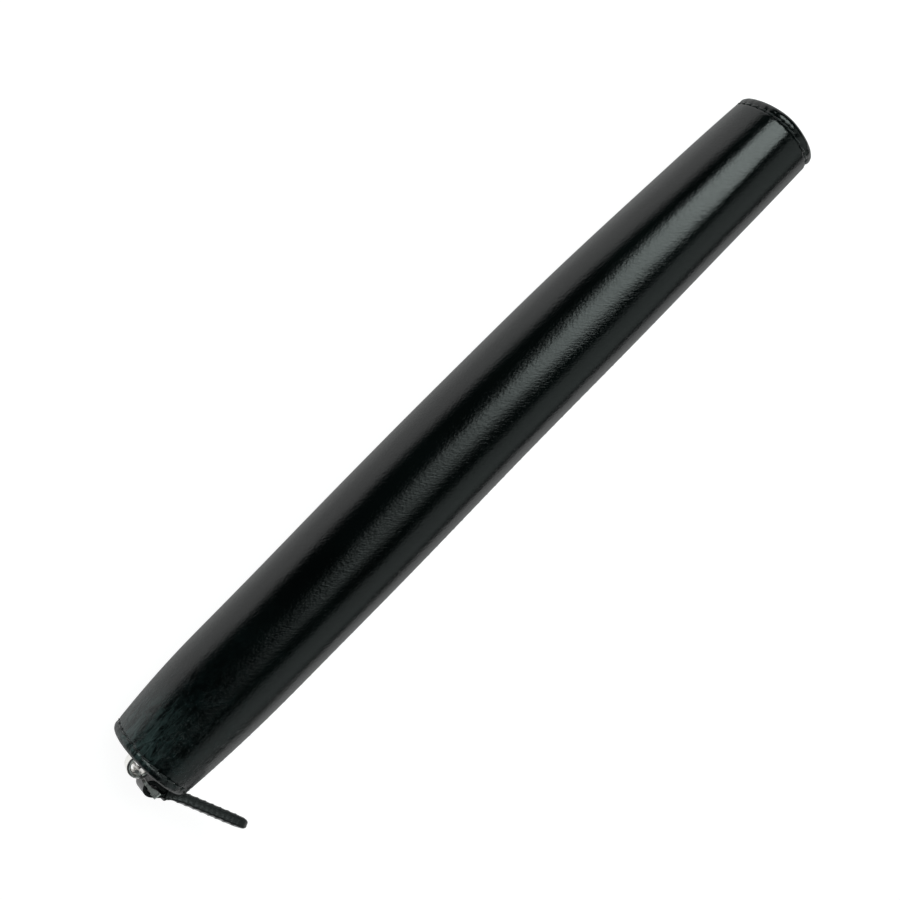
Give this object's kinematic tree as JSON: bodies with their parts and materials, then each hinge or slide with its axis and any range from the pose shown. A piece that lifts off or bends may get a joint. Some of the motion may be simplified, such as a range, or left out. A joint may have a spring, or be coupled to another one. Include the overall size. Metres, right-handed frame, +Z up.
{
  "type": "fountain pen case",
  "caption": "Slim tubular leather case for one fountain pen: two half shells on a leather spine, closed by a zip that runs round the long side and both ends, with a leather pull.",
  "frame": {"origin": "centre of the flat belly that the closed case lies on", "axes": "+X along the case from the slider end to the far end, +Y towards the spine, +Z up through the lid"},
  "size_m": [0.1802, 0.0346, 0.022],
  "materials": {
    "case_leather": "smooth box calf, semi-gloss, near-black with a dark green tint",
    "pull_leather": "smooth leather, semi-gloss, painted edges",
    "stiffener": "pressed fibre board",
    "lining": "fine napped microfibre",
    "zip_tape": "woven polyester tape",
    "zip_metal": "nickel plated teeth",
    "slider_metal": "polished nickel",
    "ring_metal": "polished nickel"
  },
  "bodies": {
    "base": {"base_cover": "case_leather", "base_board": "stiffener", "base_lining": "lining", "spine_strip": "case_leather", "spine_lining": "lining", "base_near_end": "case_leather", "base_far_end": "case_leather", "base_near_liner": "lining", "base_far_liner": "lining", "base_tape": "zip_tape", "base_teeth": "zip_metal", "end_gusset": "zip_tape", "top_stop": "zip_metal", "bottom_stop": "zip_metal"},
    "lid": {"lid_cover": "case_leather", "lid_board": "stiffener", "lid_lining": "lining", "lid_near_end": "case_leather", "lid_far_end": "case_leather", "lid_near_liner": "lining", "lid_far_liner": "lining", "lid_tape": "zip_tape", "lid_teeth": "zip_metal"},
    "slider": {"slider_body": "slider_metal", "slider_crown": "slider_metal", "lock_spring": "slider_metal"},
    "ring": {"pull_ring": "ring_metal"},
    "pull": {"pull_strap": "pull_leather", "pull_keeper": "pull_leather"}
  },
  "joints": [
    {"name": "lid_hinge", "type": "hinge", "parent": "base", "child": "lid", "pos_m": [-0.0875, 0.01125, 0.011], "axis": [-0.9999, 0.0137, 0], "range_deg": [0, 160]},
    {"name": "slider_slide", "type": "slide", "parent": "base", "child": "slider", "axis": [0, -1, 0], "range_m": [0, 0.0036]},
    {"name": "ring_hinge", "type": "hinge", "parent": "slider", "child": "ring", "pos_m": [-0.08995, 0.001, 0.011], "axis": [0, 0, -1], "range_deg": [0, 150]},
    {"name": "pull_hinge", "type": "hinge", "parent": "ring", "child": "pull", "pos_m": [-0.0907, -0.00435, 0.011], "axis": [0, 0, -1], "range_deg": [0, 45]}
  ]
}
